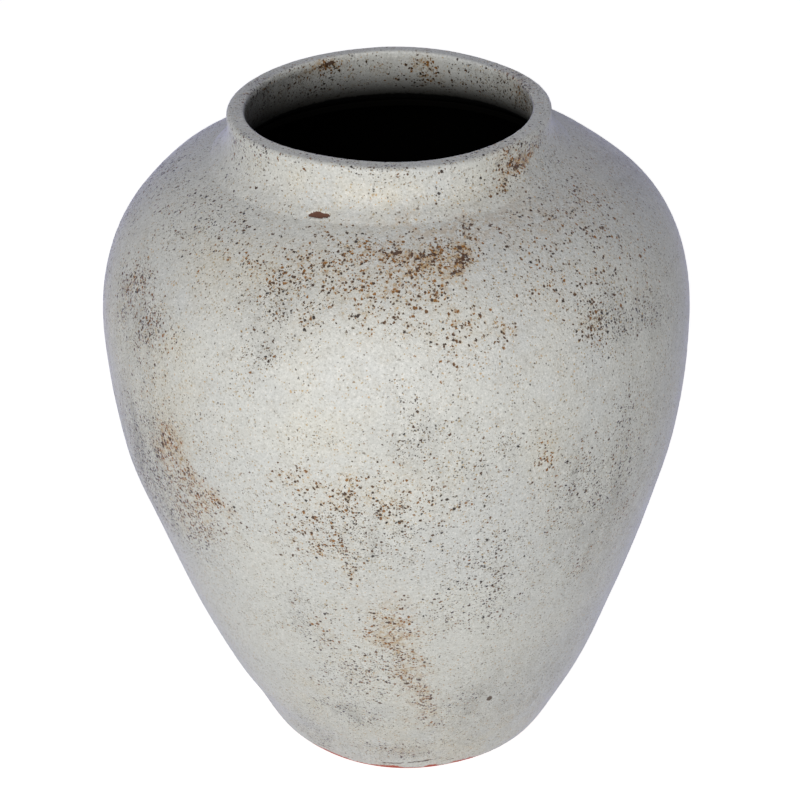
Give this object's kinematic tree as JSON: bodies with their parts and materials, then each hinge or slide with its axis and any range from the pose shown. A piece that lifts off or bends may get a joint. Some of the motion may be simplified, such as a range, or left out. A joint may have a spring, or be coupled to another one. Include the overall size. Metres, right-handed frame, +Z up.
{
  "type": "floor vase",
  "caption": "Wide-shouldered earthenware floor vase with a short coved collar, flat round-edged lip and foot ring, built in luted sections under a distressed off-white glaze.",
  "frame": {"origin": "centre of the foot ring's flat underside, on the floor", "axes": "+Z up along the axis of the turned form, -Y towards the pictured front"},
  "size_m": [0.432, 0.432, 0.52],
  "materials": {
    "distressed_glaze": "satin, speckled",
    "bare_terracotta": "matt, unglazed",
    "inner_clay": "matt, dark sealing slip"
  },
  "bodies": {
    "root": {"foot_ring": "bare_terracotta", "base_slab": "bare_terracotta", "lower_wall": "distressed_glaze", "belly_wall": "distressed_glaze", "shoulder_wall": "distressed_glaze", "neck_collar": "distressed_glaze", "base_corner_coil": "inner_clay", "lower_joint_coil": "inner_clay", "belly_joint_coil": "inner_clay", "neck_joint_coil": "inner_clay"}
  },
  "joints": []
}
